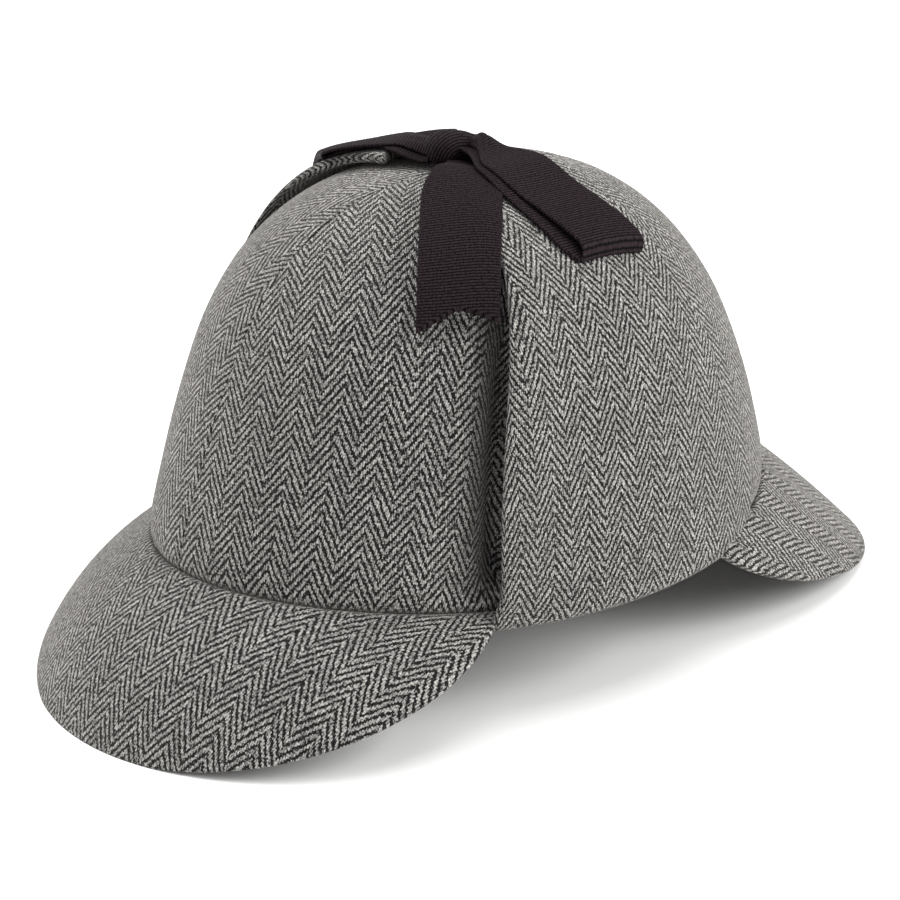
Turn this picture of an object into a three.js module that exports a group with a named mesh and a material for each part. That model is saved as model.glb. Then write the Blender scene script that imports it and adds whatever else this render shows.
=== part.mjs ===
// Deerstalker cap of herringbone tweed with a grosgrain ribbon bow.
// A crown of four panels carries a peak in front and behind and two ear flaps,
// which are folded up over the sides and tied on top.
// Millimetres and degrees, +Z up, the front of the cap towards -Y, the wearer's left towards +X.
import {
  BufferGeometry, Float32BufferAttribute, Group, MathUtils, Mesh, MeshStandardMaterial, SphereGeometry,
  Vector3,
} from 'three';

// Crown: the rim is an oval for a head of 58 cm, and each profile runs from the rim to the top.
const CROWN_TOP = 148.6;
const CROWN_RISE_POWER = 2.4;
const CROWN_TOP_BACK = 5;
const CROWN_WALL = 2;
const CROWN_EGG = 0.1;
const PROFILES = {
  front: { reach: 106.6, power: 3.6, taper: 0.25, rim: 42.9 },
  side: { reach: 80.6, power: 2.8, taper: 0, rim: 35.4 },
  back: { reach: 107.8, power: 3.2, taper: 0.27, rim: 45 },
};
const SEAM_GAP = 0.4;
const PANEL_ROWS = 16;
const PANEL_COLUMNS = 12;
const PANEL_TIP = 0.94;
const TOP_SPACING = 2;

// Peaks: length at the middle, slope at the root and at the rim, spread of the root on the oval.
const PEAK_WALL = 3;
const PEAK_ROWS = 7;
const PEAK_COLUMNS = 36;
const PEAK_END = 0.999;
const PEAK_NORMAL_END = 0.98;
const ROOT_GAP = 0.4;
const PEAK_SPREAD = 67;
const PEAKS = {
  front: { length: 57.5, rootSlope: 29, rimSlope: 69.7, sideSlope: -19.4, fan: 0.49, power: 2.36 },
  back: { length: 70, rootSlope: 37, rimSlope: 44, sideSlope: 0, fan: 0.12, power: 2.08 },
};

// Ear flaps: front and back edge as distances from the crown's middle, at the seam under the rim,
// just over the rim, halfway up and on top.
const FLAP_WALL = 3.2;
const FLAP_GAP = 0.5;
const FLAP_FOLD_GAP = 0.8;
const FLAP_EDGES = {
  front: { seam: -41.5, rim: -42, middle: -44, top: -20 },
  back: { seam: 41.5, rim: 59, middle: 52.7, top: 24 },
};
const FLAP_FLARE = 0.05;
const FLAP_STAND = { left: 4.5, right: 0.3, blend: 8, width: 14, power: 0.5, topShare: 0.9 };
const FLAP_SETTLE_STEPS = 4;
const FLAP_DIP = { front: 5, back: 1.75 };
const FLAP_LOW = 0.007;
const FLAP_START = 0.02;
const FLAP_TOP = 0.7;
const FLAP_ROWS = 15;
const FLAP_COLUMNS = 14;

// Bow: ribbon of one width, gathered at the knot. Headings turn from the front to the wearer's left.
const RIBBON_WIDTH = 24;
const RIBBON_THICKNESS = 1;
const RIBBON_COLUMNS = 6;
const BOW_CENTRE = { x: 0, y: 4 };
const KNOT = { x: -0.3, y: -1.4, width: 16, depth: 17, height: 10.8, above: 0.4, segments: 20, rings: 12 };
const RIBBON_REST = 4.2;
const TAIL_LIFT = 0.3;
const TAIL_NOTCH = 5.3;
const TAIL_ROWS = 14;
const TAILS = {
  left: { heading: 49.5, start: 12.5, length: 85.5, knotWidth: 11, gather: 30, slant: -2 },
  right: { heading: -120, start: 10, length: 68, knotWidth: 9, gather: 48, slant: 0 },
};

// Loops: the lower run is lifted over a tail or dips between the flaps at the knot, and levels out.
// The upper run arches up to the knot, and sway bows the whole loop to one side.
const LOOP_MOUTH = 1.4;
const LOOP_BEND_SHARE = 0.2;
const LOOP_ROWS = 34;
const LOOPS = {
  left: {
    heading: 98, start: 9, length: 66, knotWidth: 12, gather: 15, slant: 0.06, bend: 1.4, sway: -6.8,
    knotLift: 1.7, levelFrom: 30, levelTo: 44, arch: 1.6, archReach: 10,
  },
  right: {
    heading: -57, start: 12, length: 47, knotWidth: 17, gather: 10, slant: 0, bend: 1, sway: 0,
    knotLift: -2.6, levelFrom: 9, levelTo: 15, arch: 4, archReach: 9,
  },
};

const TWEED = { color: 0x7c7a79, roughness: 0.95, metalness: 0 };
const GROSGRAIN = { color: 0x2b2629, roughness: 0.6, metalness: 0 };

const RIGHT_ANGLE = Math.PI / 2;
const HALVINGS = 40;
const NUDGE = 0.01;

// Rim height round the oval: the sides lie lower than the front and the back.
function rimHeight(theta) {
  const along = Math.cos(theta);
  const end = along > 0 ? PROFILES.front : PROFILES.back;
  return PROFILES.side.rim + (end.rim - PROFILES.side.rim) * along * along;
}

// Share of the rise at angle up, and what is left of a profile's reach there.
function rise(up) {
  return Math.sin(up) ** (2 / CROWN_RISE_POWER);
}

function reachAt(profile, up, offset) {
  const left = Math.max(Math.cos(up), 0) ** (2 / profile.power);
  return (profile.reach + offset) * left * (1 - profile.taper * rise(up));
}

// Point of the crown at angle theta round the head and angle up from the rim, offset outwards.
function crownPoint(theta, up, offset) {
  const share = rise(up);
  const along = Math.cos(theta);
  const length = reachAt(along > 0 ? PROFILES.front : PROFILES.back, up, offset);
  const egg = 1 - CROWN_EGG * along * (1 - share);
  const base = rimHeight(theta);
  return new Vector3(
    reachAt(PROFILES.side, up, offset) * egg * Math.sin(theta),
    CROWN_TOP_BACK * share - length * along,
    base + (CROWN_TOP + offset - base) * share,
  );
}

// Angle up for an even walk from the rim, with the rows drawn together near the top.
function upAt(walk) {
  return RIGHT_ANGLE * (1 - (1 - walk) ** TOP_SPACING);
}

// Distance along Y at which a flap's edge lies.
function edgeDistance(edge, share) {
  const bow = (edge.middle - edge.rim) * 4 * share * (1 - share);
  const belowFlare = Math.max(1 - share / FLAP_FLARE, 0);
  return edge.rim + bow + (edge.top - edge.rim) * share * share + (edge.seam - edge.rim) * belowFlare;
}

// How far a flap stands off the crown: most along the left one's front edge, and less towards the rim
// and the top.
function flapStand(x, y, up) {
  const share = rise(up);
  const toLeft = MathUtils.smoothstep(x, -FLAP_STAND.blend, FLAP_STAND.blend);
  const height = MathUtils.lerp(FLAP_STAND.right, FLAP_STAND.left, toLeft);
  const fromEdge = y - edgeDistance(FLAP_EDGES.front, share);
  const beside = Math.exp(-((fromEdge / FLAP_STAND.width) ** 2));
  const upwards = Math.sin(Math.PI * FLAP_STAND.topShare * share) ** FLAP_STAND.power;
  return height * beside * upwards;
}

// Height over a point of the plan of a surface laid over the crown and its flaps, found by halving.
function heightOver(x, y, offset) {
  let low = 0;
  let high = RIGHT_ANGLE;
  for (let step = 0; step < HALVINGS; step += 1) {
    const up = (low + high) / 2;
    const share = rise(up);
    const raised = offset + flapStand(x, y, up);
    const forward = CROWN_TOP_BACK * share - y;
    const length = reachAt(forward > 0 ? PROFILES.front : PROFILES.back, up, raised);
    const width = reachAt(PROFILES.side, up, raised);
    const egg = 1 - CROWN_EGG * (forward / length) * (1 - share);
    const inside = (x / width / egg) ** 2 + (forward / length) ** 2 < 1;
    if (inside) {
      low = up;
    } else {
      high = up;
    }
  }
  const up = (low + high) / 2;
  const theta = Math.atan2(x, CROWN_TOP_BACK - y);
  const base = rimHeight(theta);
  return base + (CROWN_TOP + offset + flapStand(x, y, up) - base) * rise(up);
}

// Closed wall between two grids of points with the same rows and columns.
function wall(outer, inner) {
  const rows = outer.length;
  const columns = outer[0].length;
  const position = [...outer.flat(), ...inner.flat()].flatMap((point) => [point.x, point.y, point.z]);
  const index = [];
  const outside = (row, column) => row * columns + column;
  const inside = (row, column) => rows * columns + row * columns + column;
  const quad = (a, b, c, d) => index.push(a, b, c, a, c, d);
  for (let row = 0; row < rows - 1; row += 1) {
    for (let column = 0; column < columns - 1; column += 1) {
      const next = column + 1;
      quad(outside(row, column), outside(row, next), outside(row + 1, next), outside(row + 1, column));
      quad(inside(row, column), inside(row + 1, column), inside(row + 1, next), inside(row, next));
    }
    const last = columns - 1;
    quad(outside(row, 0), outside(row + 1, 0), inside(row + 1, 0), inside(row, 0));
    quad(outside(row, last), inside(row, last), inside(row + 1, last), outside(row + 1, last));
  }
  const top = rows - 1;
  for (let column = 0; column < columns - 1; column += 1) {
    quad(outside(0, column), inside(0, column), inside(0, column + 1), outside(0, column + 1));
    quad(outside(top, column), outside(top, column + 1), inside(top, column + 1), inside(top, column));
  }
  const geometry = new BufferGeometry();
  geometry.setAttribute('position', new Float32BufferAttribute(position, 3));
  geometry.setIndex(signedVolume(position, index) < 0 ? index.reverse() : index);
  geometry.computeVertexNormals();
  return geometry;
}

function signedVolume(position, index) {
  const corner = (k) => new Vector3().fromArray(position, 3 * index[k]);
  let volume = 0;
  for (let k = 0; k < index.length; k += 3) {
    volume += corner(k).dot(corner(k + 1).cross(corner(k + 2))) / 6;
  }
  return volume;
}

// Grid of points from a function of the row and the column, both as shares from 0 to 1.
function grid(rows, columns, pointAt) {
  return Array.from({ length: rows + 1 }, (_, row) => (
    Array.from({ length: columns + 1 }, (__, column) => pointAt(row / rows, column / columns))
  ));
}

// One crown panel between two seams, which keep half the seam gap each.
function panelGeometry(seam) {
  const half = SEAM_GAP / 2;
  const lengthProfile = Math.cos(seam + RIGHT_ANGLE / 2) > 0 ? PROFILES.front : PROFILES.back;
  const onMiddleSeam = Math.abs(Math.sin(seam)) < half;
  const surface = (offset) => grid(PANEL_ROWS, PANEL_COLUMNS, (row, column) => {
    const up = upAt(row * PANEL_TIP);
    const middleMargin = half / reachAt(PROFILES.side, up, -CROWN_WALL);
    const sideMargin = half / reachAt(lengthProfile, up, -CROWN_WALL);
    const start = seam + (onMiddleSeam ? middleMargin : sideMargin);
    const end = seam + RIGHT_ANGLE - (onMiddleSeam ? sideMargin : middleMargin);
    return crownPoint(start + (end - start) * column, up, offset);
  });
  return wall(surface(0), surface(-CROWN_WALL));
}

// Point of a peak: across from -1 to 1 along the root, out from 0 at the root to 1 at the rim.
function peakPoint(peak, turn, across, out) {
  const theta = MathUtils.degToRad(PEAK_SPREAD) * across;
  const length = peak.length * (1 - Math.abs(across) ** peak.power) ** (1 / peak.power) * out;
  const change = (peak.rimSlope - peak.rootSlope) * out / 2;
  const slope = MathUtils.degToRad(peak.rootSlope + peak.sideSlope * across * across + change);
  const heading = peak.fan * theta + turn;
  const reach = length * Math.cos(slope);
  return crownPoint(theta + turn, 0, 0).add(new Vector3(
    Math.sin(heading) * reach,
    -Math.cos(heading) * reach,
    -ROOT_GAP - length * Math.sin(slope),
  ));
}

// Peak: a lip under the crown's rim, then the sloping brim, pressed flat where it meets the floor.
function peakGeometry(peak, turn) {
  const onFloor = (point) => point.setZ(Math.max(point.z, 0));
  const acrossAt = (column) => PEAK_END * Math.sin(RIGHT_ANGLE * (2 * column - 1));
  const normalAt = (across, out) => {
    const mid = MathUtils.clamp(across, -PEAK_NORMAL_END, PEAK_NORMAL_END);
    const at = (sideways, outwards) => peakPoint(peak, turn, mid + sideways, out + outwards);
    const lengthwise = at(0, NUDGE).sub(at(0, -NUDGE));
    const crosswise = at(NUDGE, 0).sub(at(-NUDGE, 0));
    const normal = lengthwise.cross(crosswise).normalize();
    return normal.z < 0 ? normal.negate() : normal;
  };
  const upper = grid(PEAK_ROWS, PEAK_COLUMNS, (out, column) => (
    onFloor(peakPoint(peak, turn, acrossAt(column), out))
  ));
  const lower = grid(PEAK_ROWS, PEAK_COLUMNS, (out, column) => {
    const across = acrossAt(column);
    const point = peakPoint(peak, turn, across, out);
    return onFloor(point.addScaledVector(normalAt(across, Math.max(out, NUDGE)), -PEAK_WALL));
  });
  const lip = (below) => Array.from({ length: PEAK_COLUMNS + 1 }, (_, column) => {
    const theta = MathUtils.degToRad(PEAK_SPREAD) * acrossAt(column / PEAK_COLUMNS) + turn;
    const point = crownPoint(theta, 0, -CROWN_WALL);
    return point.setZ(point.z - ROOT_GAP - below);
  });
  return wall([lip(0), ...upper], [lip(PEAK_WALL), ...lower]);
}

// Angle round the head at which a flap's edge lies, for an edge given by its distance along Y.
function edgeAngle(edge, up, offset) {
  const share = rise(up);
  const forward = CROWN_TOP_BACK * share - edgeDistance(edge, share);
  const length = reachAt(forward > 0 ? PROFILES.front : PROFILES.back, up, offset);
  return Math.acos(MathUtils.clamp(forward / length, -1, 1));
}

// Ear flap folded up: a lip under the crown's rim, then a sheet over the side.
function flapGeometry(side) {
  const flapPoint = (up, column, offset, lowered) => {
    const front = edgeAngle(FLAP_EDGES.front, up, FLAP_WALL);
    const back = edgeAngle(FLAP_EDGES.back, up, FLAP_WALL);
    const theta = side * (front + (back - front) * column);
    let point = crownPoint(theta, up, offset);
    for (let step = 0; step < FLAP_SETTLE_STEPS; step += 1) {
      point = crownPoint(theta, up, offset + flapStand(point.x, point.y, up));
    }
    return point.setZ(point.z - lowered);
  };
  const dip = (column) => MathUtils.lerp(FLAP_DIP.front, FLAP_DIP.back, column);
  const outerLip = [
    { walk: 0, offset: -CROWN_WALL, lowered: (column) => dip(column) + FLAP_GAP },
    { walk: 0, offset: FLAP_WALL / 2, lowered: (column) => dip(column) + FLAP_GAP },
    { walk: 0, offset: FLAP_WALL, lowered: (column) => dip(column) / 2 },
    { walk: FLAP_LOW, offset: FLAP_GAP + FLAP_WALL, lowered: () => 0 },
  ];
  const innerLip = [
    { walk: 0, offset: -CROWN_WALL, lowered: () => FLAP_GAP },
    { walk: 0, offset: 0, lowered: () => FLAP_GAP },
    { walk: 0, offset: FLAP_FOLD_GAP, lowered: () => FLAP_GAP },
    { walk: FLAP_LOW, offset: FLAP_FOLD_GAP, lowered: () => 0 },
  ];
  const lipRows = (rows) => rows.map(({ walk, offset, lowered }) => (
    Array.from({ length: FLAP_COLUMNS + 1 }, (_, column) => {
      const share = column / FLAP_COLUMNS;
      return flapPoint(upAt(walk), share, offset, lowered(share));
    })
  ));
  const sheet = (offset) => grid(FLAP_ROWS, FLAP_COLUMNS, (row, column) => (
    flapPoint(upAt(MathUtils.lerp(FLAP_START, FLAP_TOP, row)), column, offset, 0)
  ));
  return wall(
    [...lipRows(outerLip), ...sheet(FLAP_GAP + FLAP_WALL)],
    [...lipRows(innerLip), ...sheet(FLAP_GAP)],
  );
}

// Plan distances from the bow's centre after each millimetre walked over the cap along a heading.
function walkOver(heading, length, offset) {
  const direction = { x: Math.sin(heading), y: -Math.cos(heading) };
  const height = (distance) => heightOver(
    BOW_CENTRE.x + direction.x * distance,
    BOW_CENTRE.y + direction.y * distance,
    offset,
  );
  const walked = [0];
  for (let step = 0; step <= length; step += 1) {
    const here = walked[step];
    const slope = (height(here + NUDGE) - height(here)) / NUDGE;
    walked.push(here + 1 / Math.sqrt(1 + slope * slope));
  }
  return (distance) => {
    const step = Math.floor(distance);
    return walked[step] + (walked[step + 1] - walked[step]) * (distance - step);
  };
}

// Places a ribbon point by its distance along a heading, its place across, and its height over the crown.
function ribbonPlacer(headingDegrees, length) {
  const heading = MathUtils.degToRad(headingDegrees);
  const planDistance = walkOver(heading, length, RIBBON_REST);
  return (along, across, offset) => {
    const distance = planDistance(along);
    const x = BOW_CENTRE.x + Math.sin(heading) * distance + Math.cos(heading) * across;
    const y = BOW_CENTRE.y - Math.cos(heading) * distance + Math.sin(heading) * across;
    return new Vector3(x, y, heightOver(x, y, offset));
  };
}

function ribbonWidth({ start, knotWidth, gather }, along) {
  const spread = MathUtils.smoothstep(along, start, start + gather);
  return knotWidth + (RIBBON_WIDTH - knotWidth) * spread;
}

// Loose ribbon end lying on the cap, cut to a V at its end.
function tailGeometry(tail) {
  const { start, length, slant } = tail;
  const place = ribbonPlacer(tail.heading, length + Math.abs(slant));
  const surface = (offset) => grid(TAIL_ROWS, RIBBON_COLUMNS, (row, column) => {
    const across = column - 0.5;
    const end = length - TAIL_NOTCH * (1 - 2 * Math.abs(across)) + slant * across;
    const along = start + (end - start) * row;
    return place(along, across * ribbonWidth(tail, along), offset + TAIL_LIFT * row);
  });
  return wall(surface(RIBBON_REST + RIBBON_THICKNESS), surface(RIBBON_REST));
}

// Flattened loop: the ribbon runs out over the cap, folds at its end and comes back above itself.
function loopGeometry(loop) {
  const { start, length, bend, slant } = loop;
  const place = ribbonPlacer(loop.heading, length * (1 + slant));
  const straight = length - bend - start;
  const under = (along) => {
    const level = MathUtils.smoothstep(along, loop.levelFrom, loop.levelTo);
    return RIBBON_REST + loop.knotLift * (1 - level);
  };
  const archAt = (along, across) => (
    loop.arch * Math.exp(-(((along - start) / loop.archReach) ** 2)) * (1 - 4 * across * across)
  );
  const swayAt = (along) => loop.sway * Math.sin(Math.PI * (along - start) / (length - start));
  const middleLine = (share) => {
    const reach = (1 - LOOP_BEND_SHARE) / 2;
    if (share <= reach) {
      const along = start + straight * share / reach;
      return { along, lift: under(along) };
    }
    if (share >= 1 - reach) {
      const back = (1 - share) / reach;
      const along = start + straight * back;
      const opening = MathUtils.lerp(LOOP_MOUTH, 2 * bend, MathUtils.smoothstep(back, 0, 1));
      return { along, lift: under(along) + opening };
    }
    const angle = Math.PI * (share - reach) / LOOP_BEND_SHARE - RIGHT_ANGLE;
    const along = start + straight + bend * Math.cos(angle);
    return { along, lift: under(length) + bend + bend * Math.sin(angle) };
  };
  const surface = (side) => grid(LOOP_ROWS, RIBBON_COLUMNS, (row, column) => {
    const before = middleLine(Math.max(row - NUDGE / 2, 0));
    const after = middleLine(Math.min(row + NUDGE / 2, 1));
    const run = after.along - before.along;
    const climb = after.lift - before.lift;
    const size = Math.hypot(run, climb);
    const half = side * RIBBON_THICKNESS / 2;
    const here = middleLine(row);
    const across = column - 0.5;
    const along = here.along + half * climb / size;
    const slanted = start + (along - start) * (1 + slant * across);
    const arched = row > 0.5 ? archAt(here.along, across) : 0;
    const lift = here.lift - half * run / size + RIBBON_THICKNESS / 2 + arched;
    return place(slanted, across * ribbonWidth(loop, here.along) + swayAt(here.along), lift);
  });
  return wall(surface(1), surface(-1));
}

// Knot: a rounded lump between the tips of the flaps.
function knotGeometry() {
  const geometry = new SphereGeometry(1, KNOT.segments, KNOT.rings);
  geometry.rotateX(RIGHT_ANGLE);
  geometry.scale(KNOT.width / 2, KNOT.depth / 2, KNOT.height / 2);
  const base = heightOver(KNOT.x, KNOT.y, KNOT.above);
  geometry.translate(KNOT.x, KNOT.y, base + KNOT.height / 2);
  return geometry;
}

function piece(name, geometry, finish) {
  const mesh = new Mesh(geometry, new MeshStandardMaterial(finish));
  mesh.name = name;
  return mesh;
}

const cap = new Group();
['front_left', 'back_left', 'back_right', 'front_right'].forEach((place, quarter) => {
  cap.add(piece(`crown_panel_${place}`, panelGeometry(quarter * RIGHT_ANGLE), TWEED));
});
cap.add(piece('front_peak', peakGeometry(PEAKS.front, 0), TWEED));
cap.add(piece('back_peak', peakGeometry(PEAKS.back, Math.PI), TWEED));
cap.add(piece('bow_knot', knotGeometry(), GROSGRAIN));
for (const [place, side] of [['left', 1], ['right', -1]]) {
  cap.add(piece(`ear_flap_${place}`, flapGeometry(side), TWEED));
  cap.add(piece(`bow_loop_${place}`, loopGeometry(LOOPS[place]), GROSGRAIN));
  cap.add(piece(`ribbon_tail_${place}`, tailGeometry(TAILS[place]), GROSGRAIN));
}

// The middle of the cap's length goes over the origin.
const frontRim = peakPoint(PEAKS.front, 0, 0, 1);
const backRim = peakPoint(PEAKS.back, Math.PI, 0, 1);
cap.position.y = -(frontRim.y + backRim.y) / 2;

const part = new Group();
part.add(cap);

export default part;
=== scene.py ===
"""Deerstalker cap of herringbone tweed, with its ear flaps tied up on top by a grosgrain ribbon bow.

Every piece is a surface worked out with numpy in millimetres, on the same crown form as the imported
frame, and is put into its mesh in metres. The front of the cap is towards -Y, the wearer's left
towards +X, and the floor is at Z = 0.
"""
import logging
import math
from dataclasses import dataclass
from enum import Enum
from functools import partial
from typing import Any, Optional

import bmesh
import bpy
import numpy as np
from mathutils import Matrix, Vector


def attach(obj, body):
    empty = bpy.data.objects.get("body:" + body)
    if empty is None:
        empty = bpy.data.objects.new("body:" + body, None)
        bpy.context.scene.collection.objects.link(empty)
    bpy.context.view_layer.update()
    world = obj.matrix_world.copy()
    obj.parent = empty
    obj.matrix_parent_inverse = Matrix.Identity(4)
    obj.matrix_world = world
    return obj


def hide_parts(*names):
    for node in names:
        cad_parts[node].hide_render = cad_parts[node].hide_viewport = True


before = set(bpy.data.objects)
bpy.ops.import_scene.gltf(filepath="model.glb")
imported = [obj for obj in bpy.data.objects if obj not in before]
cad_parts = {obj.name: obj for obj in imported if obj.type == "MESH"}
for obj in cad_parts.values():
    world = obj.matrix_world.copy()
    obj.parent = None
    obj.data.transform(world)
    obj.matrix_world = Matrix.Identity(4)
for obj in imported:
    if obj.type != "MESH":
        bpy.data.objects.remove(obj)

Array = np.ndarray

log = logging.getLogger("deerstalker")

MM = 0.001
RIGHT_ANGLE = math.pi / 2
FULL_TURN = 2.0 * math.pi
HALVINGS = 40
RIB_PITCH = 0.96  # Spacing of the ribbon's cords, in millimetres.
WEAVE_MAP = "weave"


class Side(Enum):
    """The wearer's two sides, by the sign of X."""

    LEFT = 1
    RIGHT = -1


class End(Enum):
    """The two ends of the cap, by the angle at which each faces from the front."""

    FRONT = 0.0
    BACK = math.pi


class Slot(Enum):
    """The record's material slots."""

    TWEED = "tweed"
    GROSGRAIN = "grosgrain"


class Held(Enum):
    """What keeps a sheet of cloth in its shape."""

    STRETCHED = "stretched"
    FOLDED = "folded"
    LAID = "laid"


def smoothstep(value: Array, low: float, high: float) -> Array:
    """Rises from 0 at low to 1 at high with level ends: 3t^2 - 2t^3."""
    share = np.clip((np.asarray(value, float) - low) / (high - low), 0.0, 1.0)
    return share * share * (3.0 - 2.0 * share)


def lerp(start: Any, end: Any, share: Any) -> Any:
    """Goes from start to end in a straight line as share goes from 0 to 1."""
    return start + (end - start) * share


def unit(vectors: Array) -> Array:
    """Scales each vector of the last axis to a length of 1."""
    size = np.linalg.norm(vectors, axis=-1, keepdims=True)
    return vectors / np.maximum(size, 1e-9)


def dot(left: Array, right: Array) -> Array:
    """Multiplies vectors of the last axis and adds up, one number for each."""
    return np.sum(left * right, axis=-1)


def bell(distance: Array, width: Any) -> Array:
    """Falls from 1 at no distance towards 0 on both sides: exp(-(distance / width)^2)."""
    return np.exp(-((distance / width) ** 2))


def quarter_round(distance: Array, radius: float) -> Array:
    """Rises from 0 at an edge to 1 at a radius from it, on a quarter of a circle."""
    return np.sqrt(1.0 - (1.0 - np.minimum(distance / radius, 1.0)) ** 2)


def gathered(count: int, ease: float) -> Array:
    """Spaces count shares from 0 to 1, drawn together at both ends: t - ease sin(2 pi t) / (2 pi)."""
    even = np.linspace(0.0, 1.0, count)
    return even - ease * np.sin(FULL_TURN * even) / FULL_TURN


def step_lengths(points: Array, axis: int = 0) -> Array:
    """Gives the distance between neighbouring points along one axis of a line or a grid."""
    return np.linalg.norm(np.diff(points, axis=axis), axis=-1)


def running_sum(steps: Array, axis: int = 0) -> Array:
    """Adds up steps along an axis from a first 0, so that each point has its distance walked."""
    return np.cumsum(np.insert(steps, 0, 0.0, axis=axis), axis=axis)


def grid_quads(index: Array) -> Array:
    """Gives the four corners of every face of a grid of point numbers, in turn."""
    corners = (index[:-1, :-1], index[:-1, 1:], index[1:, 1:], index[1:, :-1])
    return np.stack(corners, axis=-1).reshape(-1, 4)


def grid_normals(points: Array) -> Array:
    """Gives a grid's unit normals: the cross product of its differences along rows and columns."""
    down, over = np.gradient(points, axis=(0, 1))
    return unit(np.cross(down, over))


def soft_waves(u: Array, v: Array, length: float) -> Array:
    """Gives gentle unevenness between -1 and 1: the mean of three crossed sine waves.

    Args:
        u: Place across, in millimetres.
        v: Place along, in millimetres.
        length: Wavelength of the longest wave, in millimetres.

    Returns:
        The height at each place.
    """
    shares_and_starts = ((1.0, 1.0, 0.3, 0.0), (1.37, -0.4, 1.0, 1.7), (1.91, 0.8, 0.7, 4.1))
    turn = FULL_TURN / length
    waves = [np.sin(turn * often * (by_u * u + by_v * v) + start)
             for often, by_u, by_v, start in shares_and_starts]
    return sum(waves) / len(waves)


def unroll(points: Array, start: int) -> Array:
    """Lays a grid of surface points out flat, as the cloth was cut, with the grain along a column.

    The starting column is laid straight with its lengths kept. From there each row is unrolled
    outwards one step at a time: the grain is carried into the next tangent plane, and the step is
    split into its part across the grain and its part along it.

    Args:
        points: Grid of points, rows by columns by 3, in millimetres.
        start: The column that the grain follows.

    Returns:
        The flat place of every point, rows by columns by 2, in millimetres.
    """
    normals = grid_normals(points)
    column = points[:, start]
    flat = np.zeros(points.shape[:2] + (2,))
    flat[:, start, 1] = running_sum(step_lengths(column))
    first_grain = unit(np.gradient(column, axis=0))
    for way in (1, -1):
        grain = first_grain
        last = points.shape[1] - 1 if way > 0 else 0
        for here in range(start, last, way):
            normal = unit(normals[:, here] + normals[:, here + way])
            grain = unit(grain - normal * dot(grain, normal)[:, None])
            step = points[:, here + way] - points[:, here]
            flat[:, here + way, 0] = flat[:, here, 0] + dot(step, np.cross(normal, grain))
            flat[:, here + way, 1] = flat[:, here, 1] + dot(step, grain)
    return flat


def straight_grain(points: Array, normals: Array, axis: int, row: int) -> Array:
    """Lays a grid of surface points out flat with the grain in planes square to an axis.

    The place across is the length along the surface for each place on the axis, taken from one row,
    so that the columns of the weave stay in those planes. The place along the grain is the sum of the
    steps along that row and then down each column, each counted along the grain.

    Args:
        points: Grid of points, rows by columns by 3, in millimetres.
        normals: Unit normal of each point.
        axis: The axis, 0 for X or 1 for Y.
        row: The row whose lengths are kept.

    Returns:
        The flat place of every point, rows by columns by 2, in millimetres.
    """
    least_level, stretch_outside = 0.3, 1.2
    grain = unit(np.cross(normals, np.eye(3)[axis]))
    order = np.argsort(points[row, :, axis])
    place = points[row, order, axis]
    stretch = 1.0 / np.sqrt(np.maximum(1.0 - normals[row, order, axis] ** 2, least_level))
    walked = running_sum(np.diff(place) * (stretch[1:] + stretch[:-1]) / 2.0)
    outside = points[..., axis] - np.clip(points[..., axis], place[0], place[-1])
    across = np.interp(points[..., axis], place, walked) + outside * stretch_outside
    first = running_sum(dot(np.diff(points[row], axis=0), (grain[row, 1:] + grain[row, :-1]) / 2.0))
    down = running_sum(dot(np.diff(points, axis=0), (grain[1:] + grain[:-1]) / 2.0))
    return np.stack([across, first + down - down[row]], axis=-1)


def edge_profile(count: int, radius: float, layers: int) -> tuple[Array, Array]:
    """Runs round half of a sheet's edge, from the middle of its wall to its face.

    One layer gives a quarter of a circle. Two layers give half a small circle for the face's own
    layer, so that a groove is left between the two turned edges.

    Args:
        count: Number of points.
        radius: How far in from the edge the face begins.
        layers: One or two.

    Returns:
        The distance in from the edge, and the share of half the wall, of each point.
    """
    start = 0.0 if layers == 1 else -RIGHT_ANGLE
    angle = np.linspace(start, RIGHT_ANGLE, count)
    inset = radius * (1.0 - np.cos(angle))
    height = np.sin(angle) if layers == 1 else (1.0 + np.sin(angle)) / 2.0
    return inset, height


def edged_shares(width: Array, inner: Array, inset: Array, ends: tuple[bool, bool]) -> Array:
    """Places a sheet's points across its width, with an edge profile at one end or both.

    Args:
        width: Width of each row, in millimetres.
        inner: Shares from 0 to 1 of the points between the two edges.
        inset: Distance of the edge profile's points from the edge.
        ends: Whether the first and the last edge have the profile.

    Returns:
        The share of the width of each point, rows by points.
    """
    widest_edge = 0.45
    width = np.asarray(width, float)[:, None]
    edge = np.minimum(inset[None, :] / width, widest_edge)
    low = edge[:, -1:] if ends[0] else np.zeros_like(width)
    high = 1.0 - (edge[:, -1:] if ends[1] else np.zeros_like(width))
    parts = [lerp(low, high, inner[None, :])]
    if ends[0]:
        parts.insert(0, edge[:, :-1])
    if ends[1]:
        parts.append(1.0 - edge[:, -2::-1])
    return np.concatenate(parts, axis=1)


def edged_heights(inner: int, height: Array, ends: tuple[bool, bool]) -> Array:
    """Gives the share of half the wall at each point that edged_shares places.

    Args:
        inner: Number of points between the two edges.
        height: Share of half the wall at the edge profile's points.
        ends: Whether the first and the last edge have the profile.

    Returns:
        The share of each point.
    """
    parts = [np.ones(inner)]
    if ends[0]:
        parts.insert(0, height[:-1])
    if ends[1]:
        parts.append(height[-2::-1])
    return np.concatenate(parts)


def srgb(code: str) -> tuple[float, float, float, float]:
    """Turns a colour linear by the sRGB curve: a straight line near black, then a power of 2.4.

    Args:
        code: The colour's sRGB hex value.

    Returns:
        Linear red, green and blue, and an alpha of 1.
    """
    shares = [int(code[place:place + 2], 16) / 255.0 for place in (0, 2, 4)]
    red, green, blue = (s / 12.92 if s <= 0.04045 else ((s + 0.055) / 1.055) ** 2.4 for s in shares)
    return red, green, blue, 1.0


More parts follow.
